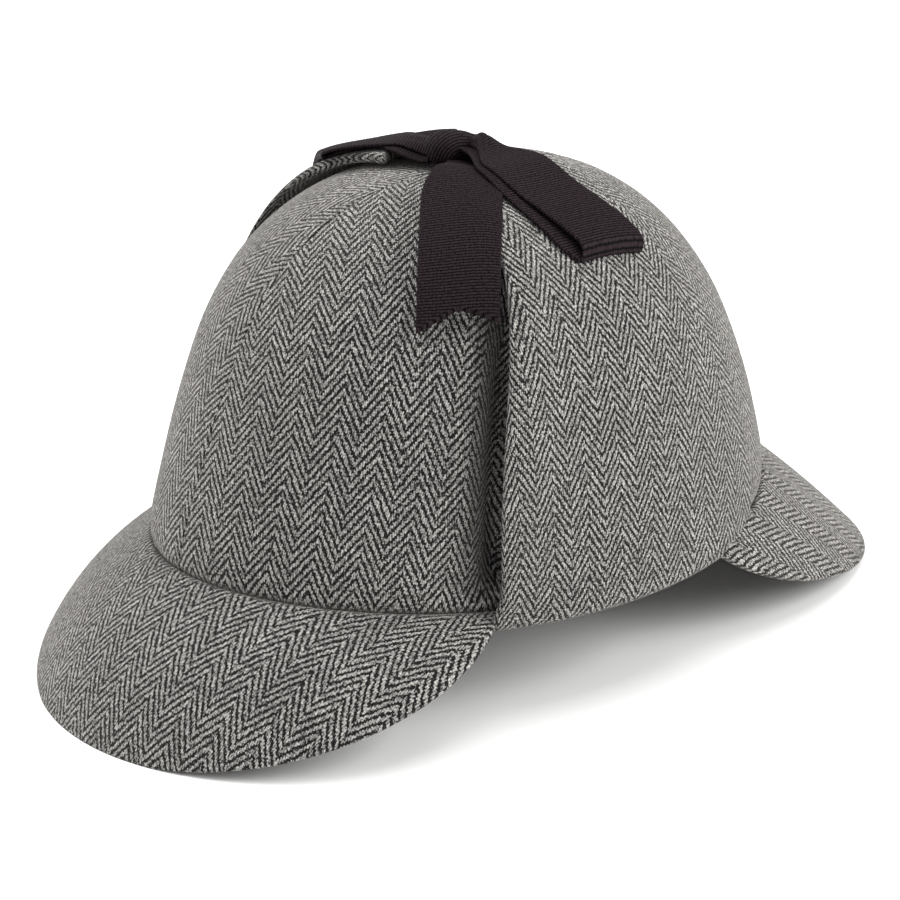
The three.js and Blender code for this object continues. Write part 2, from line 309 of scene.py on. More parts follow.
def add_node(tree: bpy.types.NodeTree, kind: str, inputs: Optional[dict] = None, **settings: Any) -> Any:
    """Adds a node, with its settings, and sets or links its inputs.

    Args:
        tree: The node tree that it goes into.
        kind: The node's type name.
        inputs: For each input, by name or number, a value, an output socket, or a node whose first
            output is meant.
        settings: The node's own properties.

    Returns:
        The new node.
    """
    node = tree.nodes.new(kind)
    for name, value in settings.items():
        setattr(node, name, value)
    for key, value in (inputs or {}).items():
        source = value.outputs[0] if isinstance(value, bpy.types.Node) else value
        if isinstance(source, bpy.types.NodeSocket):
            tree.links.new(source, node.inputs[key])
        else:
            node.inputs[key].default_value = source
    return node


def new_material(name: str, finish: dict[str, Any]) -> tuple[bpy.types.Material, bpy.types.NodeTree, Any]:
    """Makes a node material with one principled shader.

    Args:
        name: What the material is.
        finish: The shader's own values, by the names of its inputs.

    Returns:
        The material, its node tree and its shader, which is linked to the output.
    """
    material = bpy.data.materials.new(name)
    material.use_nodes = True
    tree = material.node_tree
    tree.nodes.clear()
    shader = add_node(tree, "ShaderNodeBsdfPrincipled", finish)
    add_node(tree, "ShaderNodeOutputMaterial", {"Surface": shader})
    return material, tree, shader


@dataclass(frozen=True)
class HerringboneTweed:
    """Woven wool: a 2/2 twill whose slope turns every few ends, light warp over dark weft.

    Light floats stand in slanting rows with dark weft between them, every yarn is a little uneven,
    and loose fibre lightens the cloth where it is seen edge on. Real wool fibre is too fine to show,
    so it is drawn some 25 times as coarse. Spacings, the fibre's size and the relief are in
    millimetres, and the other scales count yarns.
    """

    end_spacing: float = 0.517
    pick_spacing: float = 0.85
    column_ends: float = 12.0
    repeat_picks: float = 4.0
    fibre_size: float = 0.66
    fibre_depth: float = 2.6
    waver_scale: float = 0.33
    waver: tuple[float, float, float] = (1.7, 2.0, 0.0)
    patch_scale: float = 0.035
    float_edge: tuple[float, float] = (-0.4, 0.45)
    fuzz_from: tuple[float, float] = (0.55, 0.85)
    fuzz_most: float = 0.3
    float_sink: float = 2.0
    end_roundness: float = 0.9
    yarn_contrast: float = 0.6
    patch_contrast: float = 0.25
    shade_shift: float = -0.8
    shade_least: float = 0.1
    fibre_relief: float = 0.5
    light: str = "8B8986"
    dark: str = "0C0B0C"
    nap: str = "E6E1DA"
    relief: float = 0.22

    def make(self) -> bpy.types.Material:
        """Builds the material on the piece's own flat pattern, which is in metres.

        Each end's floats rise with its place in the column, which runs up and down in turn. A sine
        along the end, roughened by fibre and rounded across the end, says where the float lies over.

        Returns:
            The material.
        """
        material, tree, shader = new_material("herringbone_tweed", {
            "Roughness": 0.95, "IOR": 1.45, "Specular IOR Level": 0.15,
            "Sheen Weight": 0.2, "Sheen Roughness": 0.5, "Sheen Tint": srgb(self.nap),
        })
        add = partial(add_node, tree)
        flat = add("ShaderNodeUVMap", uv_map=WEAVE_MAP)
        yarns = add("ShaderNodeMapping", {
            "Vector": flat,
            "Scale": (1.0 / (self.end_spacing * MM), 1.0 / (self.pick_spacing * MM), 1.0),
        })
        noise = add("ShaderNodeTexNoise", {
            "Vector": yarns, "Scale": self.waver_scale, "Detail": 2.0, "Roughness": 0.65,
        }, noise_dimensions="2D").outputs["Color"]
        centred = add("ShaderNodeVectorMath", {0: noise, 1: (0.5, 0.5, 0.5)}, operation="SUBTRACT")
        swayed = add("ShaderNodeVectorMath", {0: centred, 1: self.waver, 2: yarns}, operation="MULTIPLY_ADD")
        parts = add("ShaderNodeSeparateXYZ", {0: swayed})
        across, along = parts.outputs["X"], parts.outputs["Y"]

        end = add("ShaderNodeMath", {0: across}, operation="FLOOR")
        beside_end = add("ShaderNodeMath", {0: across, 1: end}, operation="SUBTRACT")
        slope = add("ShaderNodeMath", {0: end, 1: self.column_ends}, operation="PINGPONG")
        risen = add("ShaderNodeMath", {0: along, 1: slope}, operation="SUBTRACT")
        repeat = add("ShaderNodeMath", {0: risen, 1: self.repeat_picks}, operation="DIVIDE")
        number = add("ShaderNodeMath", {0: repeat}, operation="FLOOR")
        phase = add("ShaderNodeMath", {0: repeat, 1: number}, operation="SUBTRACT")
        turn = add("ShaderNodeMath", {0: phase, 1: FULL_TURN}, operation="MULTIPLY")
        wave = add("ShaderNodeMath", {0: turn}, operation="SINE")
        half_turn = add("ShaderNodeMath", {0: beside_end, 1: math.pi}, operation="MULTIPLY")
        round_end = add("ShaderNodeMath", {0: half_turn}, operation="SINE")
        fibre = add("ShaderNodeTexNoise", {
            "Vector": flat, "Scale": 1.0 / (self.fibre_size * MM), "Detail": 1.0, "Roughness": 0.7,
        }, noise_dimensions="2D")
        low_wave = add("ShaderNodeMath", {0: wave, 1: self.float_sink}, operation="SUBTRACT")
        rough_wave = add("ShaderNodeMath", {0: fibre, 1: self.fibre_depth, 2: low_wave},
                         operation="MULTIPLY_ADD")
        lying = add("ShaderNodeMath", {0: round_end, 1: self.end_roundness, 2: rough_wave},
                    operation="MULTIPLY_ADD")
        over = add("ShaderNodeMapRange", {
            "Value": lying, "From Min": self.float_edge[0], "From Max": self.float_edge[1],
        }, interpolation_type="SMOOTHSTEP")

        which = add("ShaderNodeCombineXYZ", {"X": end, "Y": number})
        chance = add("ShaderNodeTexWhiteNoise", {"Vector": which}, noise_dimensions="2D")
        patch = add("ShaderNodeTexNoise", {"Vector": yarns, "Scale": self.patch_scale, "Detail": 2.0},
                    noise_dimensions="2D")
        patchy = add("ShaderNodeMath", {0: patch, 1: self.patch_contrast, 2: self.shade_shift},
                     operation="MULTIPLY_ADD")
        uneven = add("ShaderNodeMath", {0: chance, 1: self.yarn_contrast, 2: patchy},
                     operation="MULTIPLY_ADD")
        shade = add("ShaderNodeMath", {0: fibre, 1: self.fibre_depth, 2: uneven}, operation="MULTIPLY_ADD")
        shade = add("ShaderNodeMath", {0: shade, 1: self.shade_least}, operation="MAXIMUM")
        light = add("ShaderNodeVectorMath", {0: srgb(self.light)[:3], "Scale": shade}, operation="SCALE")
        fuzz = add("ShaderNodeMapRange", {
            "Value": fibre, "From Min": self.fuzz_from[0], "From Max": self.fuzz_from[1],
            "To Max": self.fuzz_most,
        })
        dark = add("ShaderNodeMix", {"Factor": fuzz, "A": srgb(self.dark), "B": srgb(self.light)},
                   data_type="RGBA").outputs["Result"]
        colour = add("ShaderNodeMix", {"Factor": over, "A": dark, "B": light},
                     data_type="RGBA").outputs["Result"]
        hairy = add("ShaderNodeMath", {0: fibre, 1: self.fibre_relief}, operation="MULTIPLY")
        height = add("ShaderNodeMath", {0: over, 1: round_end, 2: hairy}, operation="MULTIPLY_ADD")
        bump = add("ShaderNodeBump", {"Height": height, "Strength": 0.7, "Distance": self.relief * MM})
        tree.links.new(colour, shader.inputs["Base Color"])
        tree.links.new(bump.outputs[0], shader.inputs["Normal"])
        return material


@dataclass(frozen=True)
class GrosgrainRibbon:
    """Woven rayon ribbon with a fine warp over thick weft cords, near black, with a low lustre.

    The cords are real ridges in the mesh, and their colour is painted lighter along their tops and darker in
    the valleys between them, as painted light and shade. The warp is drawn as coarse as it needs to show.
    Sizes are in millimetres.
    """

    thread_spacing: float = 0.5
    thread_depth: float = 1.8
    ridge_from: tuple[float, float] = (1.15, 1.9)
    relief: float = 0.12
    # Painted light and shade: the cords' tops are coloured lighter and the valleys darker than the ribbon's
    # own near-black.
    lit_ridge: str = "292124"
    shaded_valley: str = "040304"
    lustre: str = "B8AFB2"

    def make(self) -> bpy.types.Material:
        """Builds the material on the ribbon's own flat pattern, which is in metres.

        Each cord's colour is painted lightest along its middle and darkest in the valleys, on half a sine
        wave, as painted light and shade; the warp's grain breaks it up.

        Returns:
            The material.
        """
        material, tree, shader = new_material("grosgrain_ribbon", {
            "Roughness": 0.6, "IOR": 1.47, "Specular IOR Level": 0.03,
            "Sheen Weight": 0.01, "Sheen Roughness": 0.5, "Sheen Tint": srgb(self.lustre),
        })
        add = partial(add_node, tree)
        flat = add("ShaderNodeUVMap", uv_map=WEAVE_MAP)
        threads = add("ShaderNodeMapping", {
            "Vector": flat, "Scale": (1.0 / (self.thread_spacing * MM), 1.0 / (RIB_PITCH * MM), 1.0),
        })
        grain = add("ShaderNodeTexNoise", {
            "Vector": threads, "Scale": 1.0, "Detail": 1.0, "Roughness": 0.8,
        }, noise_dimensions="2D")
        place = add("ShaderNodeSeparateXYZ", {0: threads}).outputs["Y"]
        half_turn = add("ShaderNodeMath", {0: place, 1: math.pi}, operation="MULTIPLY")
        wave = add("ShaderNodeMath", {0: half_turn}, operation="SINE")
        cord = add("ShaderNodeMath", {0: wave}, operation="ABSOLUTE")
        height = add("ShaderNodeMath", {0: grain, 1: self.thread_depth, 2: cord}, operation="MULTIPLY_ADD")
        share = add("ShaderNodeMapRange", {
            "Value": height, "From Min": self.ridge_from[0], "From Max": self.ridge_from[1],
        })
        # Painted light and shade: the colour runs from dark in the valleys to light on the cords' tops.
        colour = add("ShaderNodeMix", {"Factor": share, "A": srgb(self.shaded_valley), "B": srgb(self.lit_ridge)},
                     data_type="RGBA").outputs["Result"]
        bump = add("ShaderNodeBump", {"Height": height, "Strength": 0.6, "Distance": self.relief * MM})
        tree.links.new(colour, shader.inputs["Base Color"])
        tree.links.new(bump.outputs[0], shader.inputs["Normal"])
        return material


@dataclass(frozen=True)
class StudioFloor:
    """Painted board under the cap: matt white, so that it takes a soft shadow and gives no glint."""

    colour: str = "F3F3F2"

    def make(self) -> bpy.types.Material:
        """Builds the floor's material, which has one even colour."""
        finish = {"Base Color": srgb(self.colour), "Roughness": 0.85, "Specular IOR Level": 0.1}
        return new_material("white_board", finish)[0]


@dataclass(frozen=True)
class Profile:
    """A quarter of the crown's outline from the rim to the top, with the cloth's swell near the top.

    The reach and the rim's height are in millimetres, and the taper and the swell are shares of the reach.
    """

    reach: float
    power: float
    taper: float
    rim: float
    swell: float


@dataclass(frozen=True)
class FlapEdge:
    """An ear flap's edge, by its distance along Y under the rim, over it, halfway up and on top."""

    seam: float
    rim: float
    middle: float
    top: float
    flare: float = 0.05

    def distance(self, share: Array) -> Array:
        """Gives the edge's distance along Y: a bow on a parabola, which turns to the seam at the rim.

        Args:
            share: Share of the crown's rise.

        Returns:
            The distance at each share.
        """
        bow = (self.middle - self.rim) * 4.0 * share * (1.0 - share)
        under = (self.seam - self.rim) * np.maximum(1.0 - share / self.flare, 0.0)
        return self.rim + bow + (self.top - self.rim) * share * share + under


@dataclass(frozen=True)
class CapForm:
    """The crown's outer form, on which the flaps and the ribbon lie.

    Sizes are in millimetres. The rim is an oval for a head of 58 cm, and shift moves the middle of
    the cap's length over the origin.
    """

    top: float = 148.6
    rise_power: float = 2.4
    top_back: float = 5.0
    egg: float = 0.1
    wall: float = 2.0
    shift: float = -8.4854
    front: Profile = Profile(106.6, 3.6, 0.25, 42.9, 0.055)
    side: Profile = Profile(80.6, 2.8, 0.0, 35.4, 0.03)
    back: Profile = Profile(107.8, 3.2, 0.27, 45.0, 0.02)
    flap_front: FlapEdge = FlapEdge(-44.2, -42.0, -44.0, -17.5)
    flap_back: FlapEdge = FlapEdge(41.5, 59.0, 52.7, 24.0)
    stand_left: float = 4.5
    stand_right: float = 1.8
    stand_width: float = 14.0
    stand_turn: float = 8.0
    stand_span: float = 0.9
    swell_scale: float = 12.2

    def rim_height(self, theta: Array) -> Array:
        """Gives the rim's height round the oval, lowest at the sides: a cosine squared.

        Args:
            theta: Angle round the head from the front.

        Returns:
            The height at each angle.
        """
        along = np.cos(theta)
        end = np.where(along > 0.0, self.front.rim, self.back.rim)
        return lerp(self.side.rim, end, along * along)

    def rise(self, up: Array) -> Array:
        """Gives the share of the rise at angle up: a power of its sine."""
        return np.maximum(np.sin(up), 0.0) ** (2.0 / self.rise_power)

    def reach(self, profile: Profile, up: Array, offset: Array) -> Array:
        """Finds a profile's reach: a power of the cosine, less the taper's share, plus the swell's.

        The swell is a fourth power of the rise times what is left, scaled to 1 where it is greatest, at
        four fifths of the rise.

        Args:
            profile: The quarter's outline.
            up: Angle up from the rim.
            offset: Distance out from the crown's face.

        Returns:
            The reach at each angle.
        """
        left = np.maximum(np.cos(up), 0.0) ** (2.0 / profile.power)
        share = self.rise(up)
        swollen = 1.0 + profile.swell * self.swell_scale * share**4 * (1.0 - share)
        return (profile.reach + offset) * left * (1.0 - profile.taper * share) * swollen

    def length(self, forward: Array, up: Array, offset: Array) -> Array:
        """Gives the reach along Y, of the front where forward is above 0 and of the back elsewhere."""
        return np.where(forward > 0.0, self.reach(self.front, up, offset), self.reach(self.back, up, offset))

    def point(self, theta: Array, up: Array, offset: Array) -> Array:
        """Finds points of the crown: an oval whose size and height follow the profiles.

        Args:
            theta: Angle round the head from the front towards the wearer's left.
            up: Angle up from the rim.
            offset: Distance out from the crown's face.

        Returns:
            The points, with X, Y and Z on the last axis.
        """
        share = self.rise(up)
        along = np.cos(theta)
        base = self.rim_height(theta)
        x = self.reach(self.side, up, offset) * (1.0 - self.egg * along * (1.0 - share)) * np.sin(theta)
        y = self.top_back * share - self.length(along, up, offset) * along
        z = base + (self.top + offset - base) * share
        return np.stack(np.broadcast_arrays(x, y, z), axis=-1)

    def up_at(self, walk: Array) -> Array:
        """Gives the angle up for a walk from the rim, with its steps shorter near the top."""
        return RIGHT_ANGLE * (1.0 - (1.0 - np.asarray(walk, float)) ** 2)

    def stand(self, x: Array, y: Array, up: Array) -> Array:
        """Finds how far a flap stands off the crown: a bell across its front edge, higher on the left.

        Args:
            x: Place in the plan.
            y: Place in the plan.
            up: Angle up from the rim.

        Returns:
            The distance at each place.
        """
        share = self.rise(up)
        on_left = smoothstep(x, -self.stand_turn, self.stand_turn)
        height = lerp(self.stand_right, self.stand_left, on_left)
        beside = bell(y - self.flap_front.distance(share), self.stand_width)
        return height * beside * np.sqrt(np.maximum(np.sin(self.stand_span * math.pi * share), 0.0))

    def height_over(self, x: Array, y: Array, offset: Array) -> Array:
        """Finds the height over the plan of a surface laid over the crown and its flaps, by halving.

        Args:
            x: Place in the plan.
            y: Place in the plan.
            offset: Distance of the surface from the crown's face.

        Returns:
            The height of each point.
        """
        x, y, offset = np.broadcast_arrays(x, y, offset)
        low = np.zeros(x.shape)
        high = np.full(x.shape, RIGHT_ANGLE)
        for _ in range(HALVINGS):
            up = (low + high) / 2.0
            share = self.rise(up)
            raised = offset + self.stand(x, y, up)
            forward = self.top_back * share - y
            ratio = forward / self.length(forward, up, raised)
            width = self.reach(self.side, up, raised) * (1.0 - self.egg * ratio * (1.0 - share))
            inside = (x / width) ** 2 + ratio**2 < 1.0
            low = np.where(inside, up, low)
            high = np.where(inside, high, up)
        up = (low + high) / 2.0
        base = self.rim_height(np.arctan2(x, self.top_back - y))
        return base + (self.top + offset + self.stand(x, y, up) - base) * self.rise(up)


@dataclass(frozen=True)
class ClothSheet:
    """How a piece was cut flat, in millimetres, and how it is held."""

    width: float
    length: float
    area: float
    held: Held


@dataclass
class Workshop:
    """Puts finished surfaces into the scene and fits them to the frame."""

    form: CapForm
    finishes: dict[Slot, bpy.types.Material]

    def closed_sheet(self, name: str, outer: Array, inner: Array, weave: Array) -> bpy.types.Object:
        """Makes one closed mesh of two grids that share the points of their border.

        Args:
            name: The piece's name.
            outer: Grid of points of the outer face, in millimetres.
            inner: Grid of the inner face, with the same rows and columns.
            weave: Flat place of each point, in millimetres.

        Returns:
            The new object, with its flat pattern in its UV map.
        """
        rows, columns = outer.shape[:2]
        count = rows * columns
        outer_index = np.arange(count).reshape(rows, columns)
        inner_index = outer_index + count
        for border in (np.s_[0, :], np.s_[-1, :], np.s_[:, 0], np.s_[:, -1]):
            inner_index[border] = outer_index[border]
        used, inverse = np.unique(np.concatenate([outer_index, inner_index]), return_inverse=True)
        inverse = inverse.reshape(2, rows, columns)
        points = np.concatenate([outer.reshape(-1, 3), inner.reshape(-1, 3)])[used]

        plain = grid_quads(np.arange(count).reshape(rows, columns))
        faces = np.concatenate([grid_quads(inverse[0]), grid_quads(inverse[1])[:, ::-1]])
        flat = np.concatenate([plain, plain[:, ::-1]])
        corners = points[faces]
        volume = np.sum(dot(corners[:, 0], np.cross(corners[:, 1], corners[:, 2]))
                        + dot(corners[:, 0], np.cross(corners[:, 2], corners[:, 3])))
        if volume < 0.0:
            faces = faces[:, ::-1]
            flat = flat[:, ::-1]
        return self.place_mesh(name, points, faces, weave.reshape(-1, 2)[flat.reshape(-1)])

    def place_mesh(self, name: str, points: Array, faces: Array, flat: Array) -> bpy.types.Object:
        """Makes an object of points and faces, with a flat place for each corner.

        Args:
            name: The piece's name.
            points: Points, in millimetres.
            faces: Point numbers of each four-sided face.
            flat: Flat place of each face's corners in turn, in millimetres.

        Returns:
            The new object, at the origin.
        """
        moved = points + np.array([0.0, self.form.shift, 0.0])
        mesh = bpy.data.meshes.new(name)
        mesh.from_pydata((moved * MM).tolist(), [], faces.tolist())
        layer = mesh.uv_layers.new(name=WEAVE_MAP)
        layer.data.foreach_set("uv", (flat * MM).astype(np.float32).ravel())
        mesh.polygons.foreach_set("use_smooth", np.ones(len(mesh.polygons), dtype=bool))
        mesh.update()
        piece = bpy.data.objects.new(name, mesh)
        bpy.context.scene.collection.objects.link(piece)
        return piece

    def fit(self, piece: bpy.types.Object, node: str, slot: Slot) -> None:
        """Dresses a piece, fits it in place of its node, and logs how many faces it has.

        Args:
            piece: The finished piece.
            node: The frame's node that it stands for.
            slot: The record's material slot.
        """
        piece.data.materials.append(self.finishes[slot])
        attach(piece, "root")
        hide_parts(node)
        log.info("%s: %d faces", piece.name, len(piece.data.polygons))


@dataclass
class Crown:
    """Four gores of tweed, seamed at the front, the sides, the back and the top.

    Sizes are in millimetres. The tip, the dent's limits and the eases are shares.
    """

    form: CapForm
    tip: float = 0.985
    seam_gap: float = 0.06
    seam_round: float = 0.42
    seam_lift: float = 0.65
    tuck: float = 1.0
    tuck_height: float = 4.5
    hem_drop: float = 1.0
    hem_height: float = 3.0
    dent: float = 8.0
    dent_behind: float = 5.0
    dent_widths: tuple[float, float] = (14.0, 8.0)
    dent_narrows: tuple[float, float] = (0.0, 0.6)
    dent_begins: tuple[float, float] = (0.0, 0.07)
    dent_ends: tuple[float, float] = (0.6, 0.95)
    groove: float = 12.0
    groove_width: float = 6.0
    right_dent: float = 0.25
    pucker: float = 0.1
    pucker_length: float = 13.0
    pucker_reach: float = 5.0
    slack: float = 0.25
    slack_length: float = 47.0
    weave_ease: tuple[float, float] = (1.05, 1.03)
    row_ease: float = 0.6
    column_ease: float = 0.85
    rows: int = 120
    columns: int = 110

    def hollow(self, quarter: int, place: Array, share: Array) -> Array:
        """Works out how far a gore is drawn in behind the flap's front edge.

        It is a wide bell and a narrow one across the edge's line, and both fade at the rim and near the
        top. On the right, where the flap lies closer, only a part of it is left.

        Args:
            quarter: Which gore, counted from the front towards the wearer's left.
            place: Place of each point along Y.
            share: Share of the crown's rise of each row.

        Returns:
            The depth at each point.
        """
        beside = place - self.form.flap_front.distance(share) - self.dent_behind
        width = lerp(*self.dent_widths, smoothstep(share, *self.dent_narrows))
        depth = self.dent * bell(beside, width) + self.groove * bell(beside, self.groove_width)
        depth = depth * smoothstep(share, *self.dent_begins) * (1.0 - smoothstep(share, *self.dent_ends))
        return depth * self.right_dent if quarter > 1 else depth

    def panel(self, quarter: int) -> tuple[Array, Array, Array]:
        """Works out one gore: the crown form between two seams, with rounded edges.

        It is tucked in and lowered at the rim, puckered along its seams, a little slack all over, and
        drawn in behind the flap's front edge.

        Args:
            quarter: Which gore, counted from the front towards the wearer's left.

        Returns:
            The outer grid, the inner grid and the flat pattern.
        """
        form = self.form
        up = form.up_at(gathered(self.rows, self.row_ease) * self.tip)[:, None]
        middle_margin = self.seam_gap / 2.0 / form.reach(form.side, up, -form.wall)
        end = form.front if quarter in (0, 3) else form.back
        side_margin = self.seam_gap / 2.0 / form.reach(end, up, -form.wall)
        on_middle = quarter in (0, 2)
        start = quarter * RIGHT_ANGLE + (middle_margin if on_middle else side_margin)
        finish = (quarter + 1) * RIGHT_ANGLE - (side_margin if on_middle else middle_margin)
        theta = lerp(start, finish, gathered(self.columns, self.column_ease)[None, :])
        face = form.point(theta, up, 0.0)
        along_row = running_sum(step_lengths(face, 1), 1)
        from_seam = np.minimum(along_row, along_row[:, -1:] - along_row)
        from_rim = running_sum(step_lengths(face))
        from_top = from_rim[-1:] - from_rim
        edge, hem, point = (quarter_round(far, self.seam_round) for far in (from_seam, from_rim, from_top))
        half = form.wall / 2.0 * edge * hem * point
        pulled = self.pucker * bell(from_seam, self.pucker_reach)
        pulled = pulled * (1.0 + np.sin(FULL_TURN * from_rim / self.pucker_length)) / 2.0
        slack = self.slack * (1.0 - soft_waves(along_row, from_rim, self.slack_length)) / 2.0
        tucked = self.tuck * bell(from_rim, self.tuck_height)
        dented = self.hollow(quarter, face[..., 1], form.rise(up))
        middle = self.seam_lift * (1.0 - edge) - form.wall / 2.0 - pulled - slack - tucked - dented
        sunk = self.hem_drop * bell(from_rim, self.hem_height)
        outer, inner = (form.point(theta, up, middle + way * half) for way in (1.0, -1.0))
        outer[..., 2] -= sunk
        inner[..., 2] -= sunk
        return outer, inner, unroll(face, self.columns // 2) / np.array(self.weave_ease)

    def build(self, shop: Workshop) -> None:
        """Makes and dresses the four gores.

        Args:
            shop: Where the surfaces become pieces.
        """
        names = ("front_left", "back_left", "back_right", "front_right")
        for quarter, name in enumerate(names):
            piece = shop.closed_sheet(f"{name}_gore", *self.panel(quarter))
            shop.fit(piece, f"crown_panel_{name}", Slot.TWEED)


@dataclass
class Peak:
    """Sloping brim of two layers of tweed, sewn under the crown's rim in front or behind.

    Sizes are in millimetres, and slopes and the spread to each side in degrees.
    """

    form: CapForm
    end: End
    length: float
    root_slope: float
    rim_slope: float
    side_slope: float
    fan: float
    power: float
    cut: ClothSheet
    wall: float = 3.0
    spread: float = 67.9
    end_share: float = 0.999
    end_taper: float = 0.06
    root_gap: float = 0.4
    edge_round: float = 1.0
    columns: int = 190
    rows: int = 46
    edge_points: int = 9
    weave_ease: tuple[float, float] = (1.0, 1.08)

    def surface(self, across: Array, out: Array) -> Array:
        """Finds points of the upper face: each runs out from the root and steepens as it goes.

        Args:
            across: Place along the root, from -1 to 1.
            out: Place between the root at 0 and the rim at 1.

        Returns:
            The points, with X, Y and Z on the last axis.
        """
        theta = math.radians(self.spread) * across
        run = self.run(across) * out
        bend = (self.rim_slope - self.root_slope) * out / 2.0
        slope = np.radians(self.root_slope + self.side_slope * across * across + bend)
        heading = self.fan * theta + self.end.value
        reach = run * np.cos(slope)
        root = self.form.point(theta + self.end.value, 0.0, 0.0)
        step = np.stack(np.broadcast_arrays(
            np.sin(heading) * reach, -np.cos(heading) * reach, -self.root_gap - run * np.sin(slope),
        ), axis=-1)
        return root + step

    def run(self, across: Array) -> Array:
        """Gives the peak's length from root to rim: a rounded outline of the given power."""
        return self.length * (1.0 - np.abs(across) ** self.power) ** (1.0 / self.power)

    def grids(self) -> tuple[Array, Array, Array]:
        """Works out both faces, with a lip under the crown's rim and two turned edges at the rim.

        The cloth is pressed flat where it would go below the floor.

        Returns:
            The outer grid, the inner grid and the flat pattern.
        """
        even = np.linspace(-1.0, 1.0, self.columns)
        across = self.end_share * np.sin(RIGHT_ANGLE * even)
        inset, height = edge_profile(self.edge_points, self.edge_round, 2)
        out = edged_shares(self.run(across), np.linspace(0.0, 1.0, self.rows), inset, (False, True)).T
        share = edged_heights(self.rows, height, (False, True))[:, None, None]
        face = self.surface(across[None, :], out)
        plain = self.surface(across[None, :], np.linspace(0.0, 1.0, len(out))[:, None])
        normals = grid_normals(plain)
        normals = normals * np.where(normals[..., 2:] < 0.0, -1.0, 1.0)
        end_round = quarter_round(1.0 - np.abs(even), self.end_taper)[None, :, None]
        half = self.wall / 2.0 * share * end_round
        middle = face - normals * self.wall / 2.0
        outer = middle + normals * half
        inner = middle - normals * half
        theta = math.radians(self.spread) * across + self.end.value
        lip = self.form.point(theta, 0.0, -self.form.wall)[None]
        lip[..., 2] -= self.root_gap + self.wall / 2.0
        lip_half = np.array([0.0, 0.0, self.wall / 2.0]) * end_round
        outer = np.concatenate([lip, lip + lip_half, outer])
        inner = np.concatenate([lip, lip - lip_half, inner])
        sheet = np.concatenate([lip, lip + lip_half, face])
        facing = np.concatenate([normals[:1], normals[:1], normals])
        weave = straight_grain(sheet, facing, 0, len(sheet) // 2) / np.array(self.weave_ease)
        outer[..., 2] = np.maximum(outer[..., 2], 0.0)
        inner[..., 2] = np.maximum(inner[..., 2], 0.0)
        return outer, inner, weave

    def build(self, shop: Workshop) -> None:
        """Makes and dresses the peak.

        Args:
            shop: Where the surfaces become pieces.
        """
        name = self.end.name.lower()
        piece = shop.closed_sheet(f"{name}_brim", *self.grids())
        shop.fit(piece, f"{name}_peak", Slot.TWEED)


